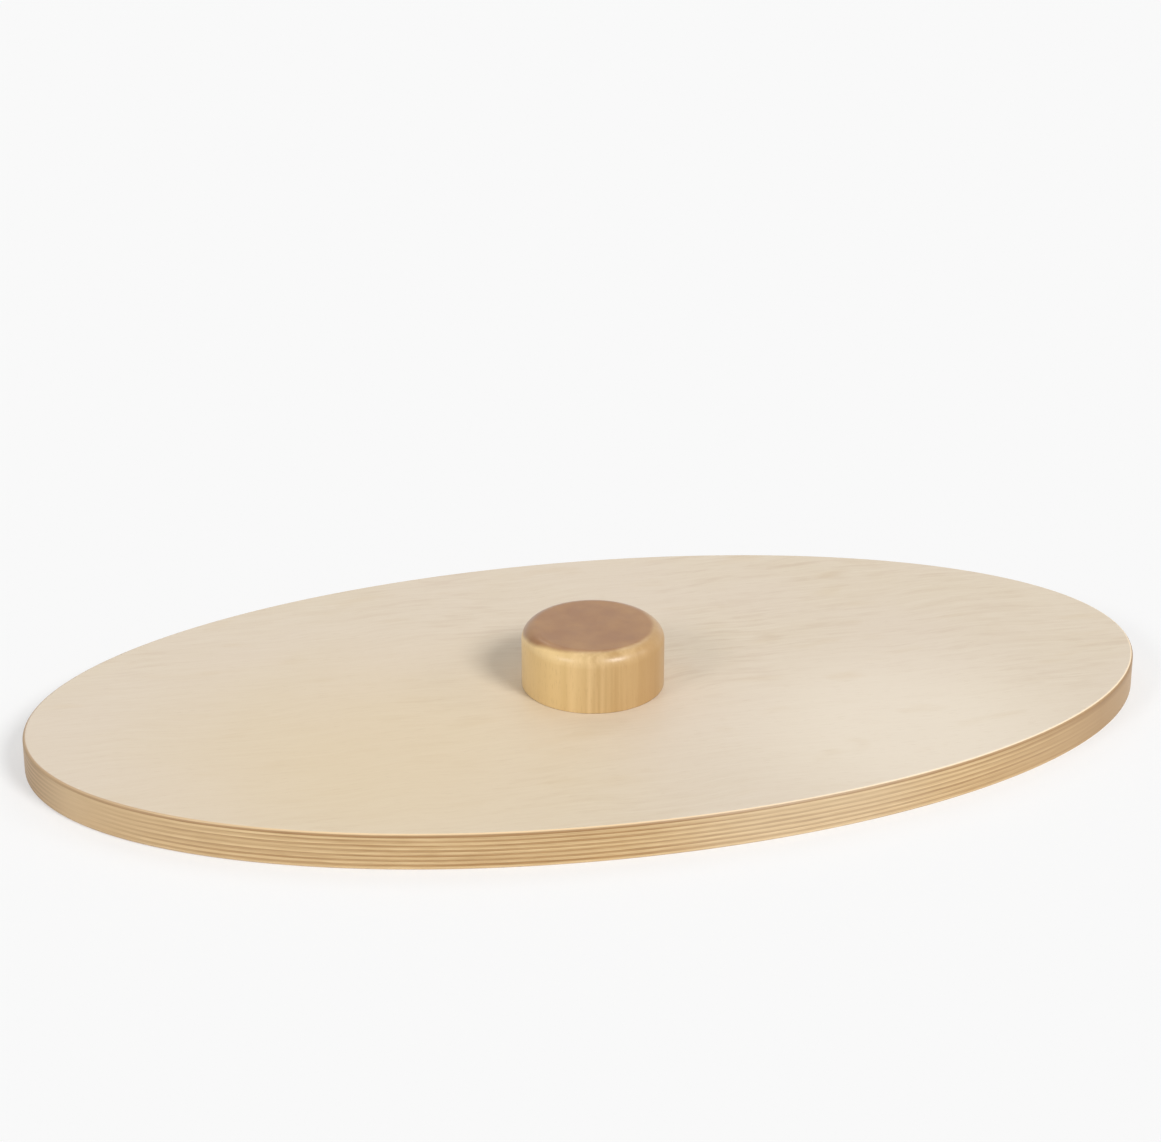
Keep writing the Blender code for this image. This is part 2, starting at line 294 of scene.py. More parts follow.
def pocket(place):
    """A short round-ended slot from the inner ring into the island."""
    bm = bmesh.new()
    centre = unit(place) * POCKET_CENTRE
    points, edges = add_section(bm, centre, unit(place + 90), HALF_SECTION)
    bmesh.ops.spin(
        bm, geom=points + edges, cent=centre, axis=UP, angle=math.pi, steps=CHANNEL_END_STEPS
    )
    _, near = add_section(bm, centre, unit(place + 90), WHOLE_SECTION)
    points, far = add_section(bm, unit(place) * RING_RADII["inner"], unit(place + 90), WHOLE_SECTION)
    bmesh.ops.bridge_loops(bm, edges=near + far)
    bm.faces.new(points)
    return close_mouth(bm)


def screw_section(screw, grow=0.0):
    """Half of a countersunk screw, its head's face at 0 and its point up, or grown for its hole."""
    shank, head = screw["shank"] / 2 + grow, screw["head"] / 2 + grow
    shoulder = HEAD_RIM + head - shank
    end = screw["length"] + grow
    if grow:
        return [
            (0, -OVERRUN), (head, -OVERRUN), (head, HEAD_RIM), (shank, shoulder), (shank, end), (0, end),
        ]
    neck_end = shoulder + NECK_SHARE * screw["shank"]
    root_start = shoulder + TAPER_SHARE * screw["shank"]
    root = THREAD_ROOT_SHARE * shank
    point = end - POINT_SHARE * screw["length"]
    return [
        (0, 0), (head - HEAD_EASE, 0), (head, HEAD_EASE), (head, HEAD_RIM), (shank, shoulder),
        (shank, neck_end), (root, root_start), (root, point), (0, end),
    ]


def screw_holes(screw, circle, places, face):
    """What a ring of screws needs cut out, with the fit gap all round each one."""
    for place in places:
        centre = unit(place) * circle
        section = [(radius, face + height) for radius, height in screw_section(screw, FIT_GAP)]
        yield turned(section, HOLE_STEPS, centre)


def cut(mesh, cutters):
    """Takes the cutters' bmeshes out of a mesh and gives the mesh that is left."""
    scene = bpy.context.scene
    piece = bpy.data.objects.new("piece being cut", mesh)
    scene.collection.objects.link(piece)
    tools = bpy.data.collections.new("cutters")
    for bm in cutters:
        tool = bpy.data.objects.new("cutter", finished("cutter", bm))
        tools.objects.link(tool)
    scene.collection.children.link(tools)
    hole = piece.modifiers.new("cut", "BOOLEAN")
    hole.operation, hole.solver = "DIFFERENCE", "EXACT"
    hole.operand_type, hole.collection = "COLLECTION", tools
    graph = bpy.context.evaluated_depsgraph_get()
    left = bpy.data.meshes.new_from_object(piece.evaluated_get(graph), depsgraph=graph)
    for item in [piece, *tools.objects]:
        bpy.data.objects.remove(item, do_unlink=True)
    bpy.data.collections.remove(tools)
    bm = bmesh.new()
    bm.from_mesh(left)
    bmesh.ops.dissolve_degenerate(bm, edges=bm.edges, dist=2e-6)
    return finished(mesh.name, bm, 2e-6)


# Materials


def linear(hex_colour):
    """An sRGB hex colour as linear red, green, blue and alpha."""
    parts = [int(hex_colour[i:i + 2], 16) / 255 for i in (1, 3, 5)]
    return [*(c / 12.92 if c <= 0.04045 else ((c + 0.055) / 1.055) ** 2.4 for c in parts), 1.0]


# Where a Mix node keeps its colours and numbers, which share their names with its other sockets
MIX_FACTOR, MIX_A, MIX_B, MIX_RESULT = 0, 6, 7, 2
MIX_NUMBER_A, MIX_NUMBER_B = 2, 3


def add(tree, kind, inputs=None, **settings):
    """Adds a node with its settings, and fills its inputs with values or other nodes' outputs."""
    made = tree.nodes.new(kind)
    for name, value in settings.items():
        setattr(made, name, value)
    for name, value in (inputs or {}).items():
        if isinstance(value, bpy.types.NodeSocket):
            tree.links.new(value, made.inputs[name])
        else:
            made.inputs[name].default_value = value
    return made


def start_material(name, **sockets):
    """A new material with its own Principled shader, whose plain sockets are set here."""
    material = bpy.data.materials.new(name)
    material.use_nodes = True
    tree = material.node_tree
    tree.nodes.clear()
    values = {
        socket.replace("_", " ").title().replace("Ior", "IOR"): value
        for socket, value in sockets.items()
    }
    shader = add(tree, "ShaderNodeBsdfPrincipled", values)
    add(tree, "ShaderNodeOutputMaterial", {"Surface": shader.outputs[0]})
    return material, tree, shader


def near_line(tree, place, centre, full, gone, share):
    """A soft round patch: share up to full metres from an upright line at centre, and 0 beyond gone."""
    level = add(
        tree, "ShaderNodeMapping",
        {"Vector": place, "Location": (-centre[0], -centre[1], 0.0), "Scale": (1.0, 1.0, 0.0)},
    )
    distance = add(tree, "ShaderNodeVectorMath", {0: level.outputs[0]}, operation="LENGTH")
    patch = add(
        tree, "ShaderNodeMapRange",
        {
            "Value": distance.outputs["Value"], "From Min": full, "From Max": gone,
            "To Min": share, "To Max": 0.0,
        },
        interpolation_type="SMOOTHSTEP",
    )
    return patch.outputs[0]


def veneer_face(tree, place):
    """Rotary birch veneer: its colour, and the fibres and figure that its relief and gloss follow."""
    # Figure: strokes about 4 mm wide and 25 mm long, with fibres of 2 mm in them, bent by a slow drift
    drift = add(tree, "ShaderNodeTexNoise", {"Vector": place, "Scale": 7.0, "Detail": 2.0})
    moved = add(
        tree, "ShaderNodeVectorMath",
        {0: drift.outputs["Color"], 1: (0.0, 0.035, 0.0), 2: place}, operation="MULTIPLY_ADD",
    )
    stroked = add(tree, "ShaderNodeMapping", {"Vector": moved.outputs[0], "Scale": (38.0, 230.0, 160.0)})
    strokes = add(
        tree, "ShaderNodeTexNoise",
        {"Vector": stroked.outputs[0], "Scale": 1.0, "Detail": 3.0, "Roughness": 0.5},
    )
    stroke_share = add(
        tree, "ShaderNodeMapRange", {"Value": strokes.outputs[0], "From Min": 0.5, "From Max": 0.7}
    )
    fibred = add(tree, "ShaderNodeMapping", {"Vector": moved.outputs[0], "Scale": (26.0, 480.0, 300.0)})
    fibres = add(
        tree, "ShaderNodeTexNoise",
        {"Vector": fibred.outputs[0], "Scale": 1.0, "Detail": 3.0, "Roughness": 0.6},
    )
    grain = add(
        tree, "ShaderNodeMapRange", {"Value": fibres.outputs[0], "From Min": 0.3, "From Max": 0.7}
    )
    # The strokes come and go in patches about 90 mm across, and are strongest at the right back
    patches = add(
        tree, "ShaderNodeTexNoise", {"Vector": place, "Scale": 11.0, "Detail": 1.0, "W": 3.0},
        noise_dimensions="4D",
    )
    patched = add(
        tree, "ShaderNodeMath",
        {0: patches.outputs[0], 1: near_line(tree, place, (0.14, 0.06), 0.03, 0.16, 0.16)},
        operation="ADD",
    )
    patch_share = add(
        tree, "ShaderNodeMapRange",
        {"Value": patched.outputs[0], "From Min": 0.46, "From Max": 0.7, "To Min": 0.1, "To Max": 0.55},
        interpolation_type="SMOOTHSTEP",
    )
    figure_share = add(
        tree, "ShaderNodeMath", {0: stroke_share.outputs[0], 1: patch_share.outputs[0]},
        operation="MULTIPLY",
    )
    # Clouds about 120 mm across
    clouds = add(tree, "ShaderNodeTexNoise", {"Vector": place, "Scale": 8.5, "Detail": 3.0})
    cloud_share = add(
        tree, "ShaderNodeMapRange",
        {"Value": clouds.outputs[0], "From Min": 0.35, "From Max": 0.65, "To Max": 0.5},
    )
    # A few faint marks, about 15 mm wide and 40 mm long, along the grain and a little across it
    marked = add(
        tree, "ShaderNodeMapping",
        {"Vector": moved.outputs[0], "Scale": (24.0, 60.0, 40.0), "Rotation": (0.0, 0.0, 0.35)},
    )
    marks = add(tree, "ShaderNodeTexNoise", {"Vector": marked.outputs[0], "Scale": 1.0, "Detail": 2.0})
    mark_share = add(
        tree, "ShaderNodeMapRange",
        {"Value": marks.outputs[0], "From Min": 0.6, "From Max": 0.78, "To Max": 0.22},
    )
    # Pores: dashes 0.5 mm wide and 9 mm long, drawn about twice their real width so that they show
    dashed = add(
        tree, "ShaderNodeMapping", {"Vector": moved.outputs[0], "Scale": (110.0, 1900.0, 900.0)}
    )
    dashes = add(tree, "ShaderNodeTexNoise", {"Vector": dashed.outputs[0], "Scale": 1.0, "Detail": 1.0})
    pore_share = add(
        tree, "ShaderNodeMapRange",
        {"Value": dashes.outputs[0], "From Min": 0.62, "From Max": 0.75, "To Max": 0.22},
    )
    veneer = add(
        tree, "ShaderNodeMix",
        {MIX_FACTOR: grain.outputs[0], MIX_A: linear("#DED0BA"), MIX_B: linear("#D8C8B0")},
        data_type="RGBA",
    )
    colour = veneer.outputs[MIX_RESULT]
    for share, tone in (
        (figure_share.outputs[0], "#C9B49A"),
        # The clouds are a pinker cream
        (cloud_share.outputs[0], "#DECFBE"),
        # The left is a little more honey-coloured
        (near_line(tree, place, (-0.13, -0.07), 0.02, 0.2, 0.6), "#DFCAA6"),
        # Painted light: the right front is painted paler, for a pool of light and sheen that falls there
        (near_line(tree, place, (0.155, -0.095), 0.025, 0.135, 0.65), "#ECE0CD"),
        (mark_share.outputs[0], "#CFB792"),
        (pore_share.outputs[0], "#BCA384"),
    ):
        washed = add(
            tree, "ShaderNodeMix", {MIX_FACTOR: share, MIX_A: colour, MIX_B: linear(tone)},
            data_type="RGBA",
        )
        colour = washed.outputs[MIX_RESULT]
    return colour, fibres.outputs[0], figure_share.outputs[0]


def ply_stripes(tree, place, height):
    """From -0.5 in the plies that are pale on the long sides to 0.5 in the ones that are brown there.

    It is a sine of the depth under the face ply, and wavers by about 0.2 mm along the edge.
    """
    uneven = add(tree, "ShaderNodeMapping", {"Vector": place, "Scale": (9.0, 9.0, 230.0)})
    waver = add(tree, "ShaderNodeTexNoise", {"Vector": uneven.outputs[0], "Scale": 1.0, "Detail": 1.0})
    sunk = add(
        tree, "ShaderNodeMath", {0: DECK_TOP - FACE_PLY - 0.5 * PLY_WAVER, 1: height},
        operation="SUBTRACT",
    )
    depth = add(
        tree, "ShaderNodeMath", {0: waver.outputs[0], 1: PLY_WAVER, 2: sunk.outputs[0]},
        operation="MULTIPLY_ADD",
    )
    turns = add(tree, "ShaderNodeMath", {0: depth.outputs[0], 1: math.pi / PLY}, operation="MULTIPLY")
    wave = add(tree, "ShaderNodeMath", {0: turns.outputs[0]}, operation="SINE")
    stripes = add(
        tree, "ShaderNodeMapRange",
        {"Value": wave.outputs[0], "From Min": -0.35, "From Max": 0.45, "To Min": -0.5, "To Max": 0.5},
        interpolation_type="SMOOTHSTEP",
    )
    return stripes.outputs[0]


def deepest_brown(tree, height, off_middle, facing_left_right, first_ply, right_end):
    """Where the edge is its deepest brown, from 0 to 1.

    That is on the first brown ply on either side, on the upper plies towards the right end, and in
    a line along both rims towards the left end.
    """
    first_share = add(tree, "ShaderNodeMath", {0: first_ply, 1: 0.35}, operation="MULTIPLY")
    upper_plies = add(
        tree, "ShaderNodeMapRange",
        {
            "Value": height, "From Min": DECK_TOP - 4 * PLY, "From Max": DECK_TOP - 1.5 * PLY,
            "To Max": 0.5,
        },
    )
    upper_share = add(
        tree, "ShaderNodeMath", {0: upper_plies.outputs[0], 1: right_end}, operation="MULTIPLY"
    )
    rims = add(
        tree, "ShaderNodeMapRange",
        {
            "Value": off_middle, "From Min": DECK_TOP / 2 - RIM_LINE_START,
            "From Max": DECK_TOP / 2 - RIM_LINE_FULL,
        },
    )
    left_end = add(
        tree, "ShaderNodeMapRange",
        {"Value": facing_left_right, "From Min": -0.35, "From Max": -0.65, "To Max": 0.45},
    )
    share = add(
        tree, "ShaderNodeMath", {0: rims.outputs[0], 1: left_end.outputs[0]}, operation="MULTIPLY"
    )
    for other in (upper_share, first_share):
        share = add(
            tree, "ShaderNodeMath", {0: share.outputs[0], 1: other.outputs[0]}, operation="MAXIMUM"
        )
    return share.outputs[0]


def sawn_plies(tree, place, facing):
    """The sawn edge of the plies: its colour, and the streaks that its relief follows.

    A ply shows brown end grain where its grain meets the edge squarely, and is pale where the grain
    runs along the edge. So the two kinds change places between the board's long sides and its ends.
    """
    parts = add(tree, "ShaderNodeSeparateXYZ", {0: place})
    facing_parts = add(tree, "ShaderNodeSeparateXYZ", {0: facing})
    height, facing_left_right = parts.outputs["Z"], facing_parts.outputs["X"]
    stripes = ply_stripes(tree, place, height)
    to_side = add(tree, "ShaderNodeMath", {0: facing_parts.outputs["Y"]}, operation="ABSOLUTE")
    to_end = add(tree, "ShaderNodeMath", {0: facing_left_right}, operation="ABSOLUTE")
    on_sides = add(
        tree, "ShaderNodeMapRange",
        {"Value": to_side.outputs[0], "From Min": 0.55, "From Max": 0.95, "To Max": 0.75},
        interpolation_type="SMOOTHSTEP",
    )
    on_ends = add(
        tree, "ShaderNodeMapRange",
        {"Value": to_end.outputs[0], "From Min": 0.78, "From Max": 0.99, "To Max": 0.9},
        interpolation_type="SMOOTHSTEP",
    )
    # The contrast of each ply drifts over about 150 mm along it
    drifted = add(tree, "ShaderNodeMapping", {"Vector": place, "Scale": (6.5, 6.5, 640.0)})
    drift = add(tree, "ShaderNodeTexNoise", {"Vector": drifted.outputs[0], "Scale": 1.0, "Detail": 1.0})
    drift_share = add(
        tree, "ShaderNodeMapRange",
        {"Value": drift.outputs[0], "From Min": 0.32, "From Max": 0.68, "To Min": 0.1, "To Max": 1.3},
    )
    drifting = add(
        tree, "ShaderNodeMath", {0: on_sides.outputs[0], 1: drift_share.outputs[0]}, operation="MULTIPLY"
    )
    # The first brown ply on either side stays dark nearly all the way round
    from_middle = add(tree, "ShaderNodeMath", {0: height, 1: DECK_TOP / 2}, operation="SUBTRACT")
    off_middle = add(tree, "ShaderNodeMath", {0: from_middle.outputs[0]}, operation="ABSOLUTE")
    outermost = add(
        tree, "ShaderNodeMath",
        {0: off_middle.outputs[0], 1: DECK_TOP / 2 - FACE_PLY - PLY}, operation="GREATER_THAN",
    )
    not_end = add(
        tree, "ShaderNodeMapRange", {"Value": to_side.outputs[0], "From Min": 0.2, "From Max": 0.45}
    )
    kept = add(
        tree, "ShaderNodeMath", {0: outermost.outputs[0], 1: not_end.outputs[0]}, operation="MULTIPLY"
    )
    strength = add(
        tree, "ShaderNodeMath", {0: drifting.outputs[0], 1: kept.outputs[0]}, operation="MAXIMUM"
    )
    brown_share = add(
        tree, "ShaderNodeMath", {0: stripes, 1: strength.outputs[0], 2: 0.5},
        operation="MULTIPLY_ADD", use_clamp=True,
    )
    # Streaks about 20 mm long run along each ply
    streaked = add(tree, "ShaderNodeMapping", {"Vector": place, "Scale": (55.0, 55.0, 1500.0)})
    streaks = add(
        tree, "ShaderNodeTexNoise",
        {"Vector": streaked.outputs[0], "Scale": 1.0, "Detail": 4.0, "Roughness": 0.6},
    )
    tone_share = add(
        tree, "ShaderNodeMapRange", {"Value": streaks.outputs[0], "From Min": 0.3, "From Max": 0.7}
    )
    light_ply, dark_ply = (
        add(
            tree, "ShaderNodeMix",
            {MIX_FACTOR: tone_share.outputs[0], MIX_A: linear(pale), MIX_B: linear(deep)},
            data_type="RGBA",
        )
        for pale, deep in (("#DEC497", "#CBAB7B"), ("#AE895B", "#926D43"))
    )
    edge = add(
        tree, "ShaderNodeMix",
        {
            MIX_FACTOR: brown_share.outputs[0], MIX_A: light_ply.outputs[MIX_RESULT],
            MIX_B: dark_ply.outputs[MIX_RESULT],
        },
        data_type="RGBA",
    )
    muted_share = add(
        tree, "ShaderNodeMapRange",
        {"Value": to_side.outputs[0], "From Min": 0.4, "From Max": 1.0, "To Min": 0.92, "To Max": 0.0},
    )
    browned_share = add(
        tree, "ShaderNodeMapRange",
        {"Value": facing_left_right, "From Min": 0.3, "From Max": 0.65, "To Max": 0.87},
    )
    # Square to the ends, the plies between show their end grain
    end_tones = add(
        tree, "ShaderNodeMath", {0: tone_share.outputs[0], 1: 0.4, 2: 0.3}, operation="MULTIPLY_ADD"
    )
    end_brown = add(
        tree, "ShaderNodeMath", {0: stripes, 1: -0.7, 2: end_tones.outputs[0]}, operation="MULTIPLY_ADD"
    )
    end_plies = add(
        tree, "ShaderNodeMix",
        {MIX_FACTOR: end_brown.outputs[0], MIX_A: linear("#BF9F76"), MIX_B: linear("#9C7D57")},
        data_type="RGBA",
    )
    first_ply = add(
        tree, "ShaderNodeMath", {0: brown_share.outputs[0], 1: kept.outputs[0]}, operation="MULTIPLY"
    )
    deep_share = deepest_brown(
        tree, height, off_middle.outputs[0], facing_left_right, first_ply.outputs[0],
        browned_share.outputs[0],
    )
    colour = edge.outputs[MIX_RESULT]
    for share, tone in (
        # Paler and plainer towards both ends
        (muted_share.outputs[0], linear("#DBBF98")),
        # Browner towards the right end
        (browned_share.outputs[0], linear("#A48560")),
        (on_ends.outputs[0], end_plies.outputs[MIX_RESULT]),
        # Painted light: paler in front, to the right of the middle, where the same pool of light falls
        # on the edge
        (near_line(tree, place, (0.08, -0.16), 0.02, 0.11, 0.2), linear("#E6DAC4")),
        (deep_share, linear("#835F3A")),
    ):
        washed = add(
            tree, "ShaderNodeMix", {MIX_FACTOR: share, MIX_A: colour, MIX_B: tone}, data_type="RGBA"
        )
        colour = washed.outputs[MIX_RESULT]
    return colour, streaks.outputs[0]


def birch_plywood():
    """Birch plywood, sanded and lacquered satin.

    The face is a pale cream veneer with a faint wavy figure along the board and a soft sheen, painted
    paler at the right front as painted light. It rounds over a smoother arris into the sawn edge, with
    its brown and pale plies. The arris is painted paler, partly for its sanded wood and partly as a
    painted highlight.
    """
    material, tree, shader = start_material(
        "birch_plywood", coat_weight=0.08, coat_roughness=0.3, specular_ior_level=0.3
    )
    coordinates = add(tree, "ShaderNodeTexCoord")
    place, facing = coordinates.outputs["Object"], coordinates.outputs["Normal"]
    face, fibres, figure = veneer_face(tree, place)
    edge, streaks = sawn_plies(tree, place, facing)
    facing_parts = add(tree, "ShaderNodeSeparateXYZ", {0: facing})
    upright = add(tree, "ShaderNodeMath", {0: facing_parts.outputs["Z"]}, operation="ABSOLUTE")
    arris = add(
        tree, "ShaderNodeMapRange",
        {"Value": upright.outputs[0], "From Min": 0.99, "From Max": 0.92, "To Max": 0.7},
    )
    # Painted highlight: the arris is painted paler than the face, partly for its sanded wood and partly
    # for the light that catches it. The painted highlight is browner, as painted shade, at the left end,
    # and creamy from the middle to the right end.
    parts = add(tree, "ShaderNodeSeparateXYZ", {0: place})
    left_share = add(
        tree, "ShaderNodeMapRange", {"Value": parts.outputs["X"], "From Min": -0.27, "From Max": -0.17}
    )
    arris_shade_to_highlight = add(
        tree, "ShaderNodeMix",
        {MIX_FACTOR: left_share.outputs[0], MIX_A: linear("#B58D5C"), MIX_B: linear("#F3D09D")},
        data_type="RGBA",
    )
    right_share = add(
        tree, "ShaderNodeMapRange", {"Value": parts.outputs["X"], "From Min": -0.03, "From Max": 0.1}
    )
    arris_wear_and_highlight = add(
        tree, "ShaderNodeMix",
        {
            MIX_FACTOR: right_share.outputs[0], MIX_A: arris_shade_to_highlight.outputs[MIX_RESULT],
            MIX_B: linear("#FFE9C6"),
        },
        data_type="RGBA",
    )
    rounded_face = add(
        tree, "ShaderNodeMix",
        {MIX_FACTOR: arris.outputs[0], MIX_A: face, MIX_B: arris_wear_and_highlight.outputs[MIX_RESULT]},
        data_type="RGBA",
    )
    flat = add(
        tree, "ShaderNodeMapRange", {"Value": upright.outputs[0], "From Min": 0.74, "From Max": 0.88},
        interpolation_type="SMOOTHSTEP",
    )
    colour = add(
        tree, "ShaderNodeMix",
        {MIX_FACTOR: flat.outputs[0], MIX_A: edge, MIX_B: rounded_face.outputs[MIX_RESULT]},
        data_type="RGBA",
    )
    tree.links.new(colour.outputs[MIX_RESULT], shader.inputs["Base Color"])

    # Satin on the face, smoother on the arris, a little rougher on the sawn plies
    gloss = add(
        tree, "ShaderNodeMapRange", {"Value": flat.outputs[0], "To Min": 0.58, "To Max": 0.44}
    )
    eased = add(
        tree, "ShaderNodeMath", {0: arris.outputs[0], 1: -0.15, 2: gloss.outputs[0]},
        operation="MULTIPLY_ADD",
    )
    roughness = add(
        tree, "ShaderNodeMath", {0: figure, 1: 0.06, 2: eased.outputs[0]}, operation="MULTIPLY_ADD"
    )
    tree.links.new(roughness.outputs[0], shader.inputs["Roughness"])
    relief = add(
        tree, "ShaderNodeMix",
        {MIX_FACTOR: flat.outputs[0], MIX_NUMBER_A: streaks, MIX_NUMBER_B: fibres}, data_type="FLOAT",
    )
    bump = add(
        tree, "ShaderNodeBump", {"Strength": 0.12, "Distance": 0.2 * MM, "Height": relief.outputs[0]}
    )
    tree.links.new(bump.outputs[0], shader.inputs["Normal"])
    return material


def beech(name, wood, painted_light_wood, painted_shade_wood, end_wood, roughness, coat):
    """Steamed beech turned on the lathe, with its grain upright.

    The wall shows soft golden streaks and short dark flecks that run up it, painted lighter on the
    left and browner on the right as painted light and shade. The flat end shows the end grain,
    browner and a little pink, in soft clouds, and its brown is painted further down the rounded edge
    on the left and behind, partly as painted shade.
    """
    material, tree, shader = start_material(
        name, coat_weight=coat, coat_roughness=0.3, specular_ior_level=0.3
    )
    coordinates = add(tree, "ShaderNodeTexCoord")
    place, facing = coordinates.outputs["Object"], coordinates.outputs["Normal"]
    # Streaks about 9 mm wide, with fibres of 2 mm in them, that run up the wall
    streaked = add(tree, "ShaderNodeMapping", {"Vector": place, "Scale": (105.0, 105.0, 5.0)})
    streaks = add(
        tree, "ShaderNodeTexNoise", {"Vector": streaked.outputs[0], "Scale": 1.0, "Detail": 2.0}
    )
    fibred = add(tree, "ShaderNodeMapping", {"Vector": place, "Scale": (430.0, 430.0, 11.0)})
    fibres = add(
        tree, "ShaderNodeTexNoise",
        {"Vector": fibred.outputs[0], "Scale": 1.0, "Detail": 3.0, "Roughness": 0.55},
    )
    grain = add(
        tree, "ShaderNodeMath", {0: fibres.outputs[0], 1: 0.45, 2: streaks.outputs[0]},
        operation="MULTIPLY_ADD",
    )
    grain_share = add(
        tree, "ShaderNodeMapRange", {"Value": grain.outputs[0], "From Min": 0.5, "From Max": 0.95}
    )
    # Painted light and shade: the wall is painted yellower and lighter on the left and browner on the
    # right, for how the light falls on it
    parts = add(tree, "ShaderNodeSeparateXYZ", {0: place})
    painted_light_share = add(
        tree, "ShaderNodeMapRange",
        {"Value": parts.outputs["X"], "From Min": -0.008, "From Max": -0.03, "To Max": 0.85},
    )
    painted_shade_share = add(
        tree, "ShaderNodeMapRange",
        {"Value": parts.outputs["X"], "From Min": -0.004, "From Max": 0.026, "To Max": 0.8},
    )
    # Ray flecks, 0.7 mm wide and 5 mm long, a little larger than real so that they show
    flecked = add(tree, "ShaderNodeMapping", {"Vector": place, "Scale": (1300.0, 1300.0, 190.0)})
    flecks = add(tree, "ShaderNodeTexNoise", {"Vector": flecked.outputs[0], "Scale": 1.0, "Detail": 1.0})
    fleck_share = add(
        tree, "ShaderNodeMapRange",
        {"Value": flecks.outputs[0], "From Min": 0.6, "From Max": 0.72, "To Max": 0.15},
    )
    # End grain: clouds about 15 mm across
    clouds = add(tree, "ShaderNodeTexNoise", {"Vector": place, "Scale": 60.0, "Detail": 3.0})
    cloud_share = add(
        tree, "ShaderNodeMapRange", {"Value": clouds.outputs[0], "From Min": 0.35, "From Max": 0.65}
    )
    # The end grain's brown on the flat end is the wood's own. The mask leans, so that the brown reaches
    # further down the rounded edge on the left and behind than in front: partly the edge's own end
    # grain, partly painted shade on the sides that face away from the light.
    grain_and_shade_lean = add(
        tree, "ShaderNodeVectorMath", {0: facing, 1: (-0.4, 0.45, 1.0)}, operation="DOT_PRODUCT"
    )
    upright = add(tree, "ShaderNodeMath", {0: grain_and_shade_lean.outputs["Value"]}, operation="ABSOLUTE")
    clouded = add(
        tree, "ShaderNodeMath", {0: clouds.outputs[0], 1: 0.16, 2: upright.outputs[0]},
        operation="MULTIPLY_ADD",
    )
    end_grain_and_shade_share = add(
        tree, "ShaderNodeMapRange", {"Value": clouded.outputs[0], "From Min": 0.8, "From Max": 1.06},
        interpolation_type="SMOOTHSTEP",
    )
    wall, end = (
        add(
            tree, "ShaderNodeMix",
            {MIX_FACTOR: share.outputs[0], MIX_A: linear(pale), MIX_B: linear(deep)},
            data_type="RGBA",
        )
        for share, (pale, deep) in ((grain_share, wood[:2]), (cloud_share, end_wood))
    )
    colour = wall.outputs[MIX_RESULT]
    for share, tone in (
        (painted_light_share, linear(painted_light_wood)),
        (painted_shade_share, linear(painted_shade_wood)),
        (fleck_share, linear(wood[2])),
        (end_grain_and_shade_share, end.outputs[MIX_RESULT]),
    ):
        washed = add(
            tree, "ShaderNodeMix", {MIX_FACTOR: share.outputs[0], MIX_A: colour, MIX_B: tone},
            data_type="RGBA",
        )
        colour = washed.outputs[MIX_RESULT]
    tree.links.new(colour, shader.inputs["Base Color"])
    rough = add(
        tree, "ShaderNodeMapRange",
        {"Value": grain_share.outputs[0], "To Min": roughness, "To Max": roughness + 0.08},
    )
    tree.links.new(rough.outputs[0], shader.inputs["Roughness"])
    bump = add(
        tree, "ShaderNodeBump", {"Strength": 0.08, "Distance": 0.2 * MM, "Height": fibres.outputs[0]}
    )
    tree.links.new(bump.outputs[0], shader.inputs["Normal"])
    return material


def clear_acrylic():
    """Clear cast acrylic sheet with a polished face: see-through and glossy, with faint wipe marks.

    Lamps and scattered light pass straight through it, so that the maze behind it is lit once.
    """
    material, tree, shader = start_material(
        "clear_acrylic", transmission_weight=1.0, ior=1.49, base_color=linear("#FEFEFE")
    )
    place = add(tree, "ShaderNodeTexCoord").outputs["Object"]
    # Wipe marks about 11 mm wide and 35 mm long
    smeared = add(
        tree, "ShaderNodeMapping",
        {"Vector": place, "Scale": (90.0, 28.0, 50.0), "Rotation": (0, 0, 0.6)},
    )
    smears = add(tree, "ShaderNodeTexNoise", {"Vector": smeared.outputs[0], "Scale": 1.0, "Detail": 3.0})
    rough = add(
        tree, "ShaderNodeMapRange",
        {"Value": smears.outputs[0], "From Min": 0.4, "From Max": 0.75, "To Min": 0.015, "To Max": 0.06},
    )
    tree.links.new(rough.outputs[0], shader.inputs["Roughness"])
    rays = add(tree, "ShaderNodeLightPath")
    clear = add(tree, "ShaderNodeBsdfTransparent", {"Color": linear("#FEFEFE")})
    passing = add(
        tree, "ShaderNodeMath",
        {0: rays.outputs["Is Shadow Ray"], 1: rays.outputs["Is Diffuse Ray"]}, operation="MAXIMUM",
    )
    mixed = add(
        tree, "ShaderNodeMixShader", {0: passing.outputs[0], 1: shader.outputs[0], 2: clear.outputs[0]}
    )
    output = next(n for n in tree.nodes if n.type == "OUTPUT_MATERIAL")
    tree.links.new(mixed.outputs[0], output.inputs["Surface"])
    return material


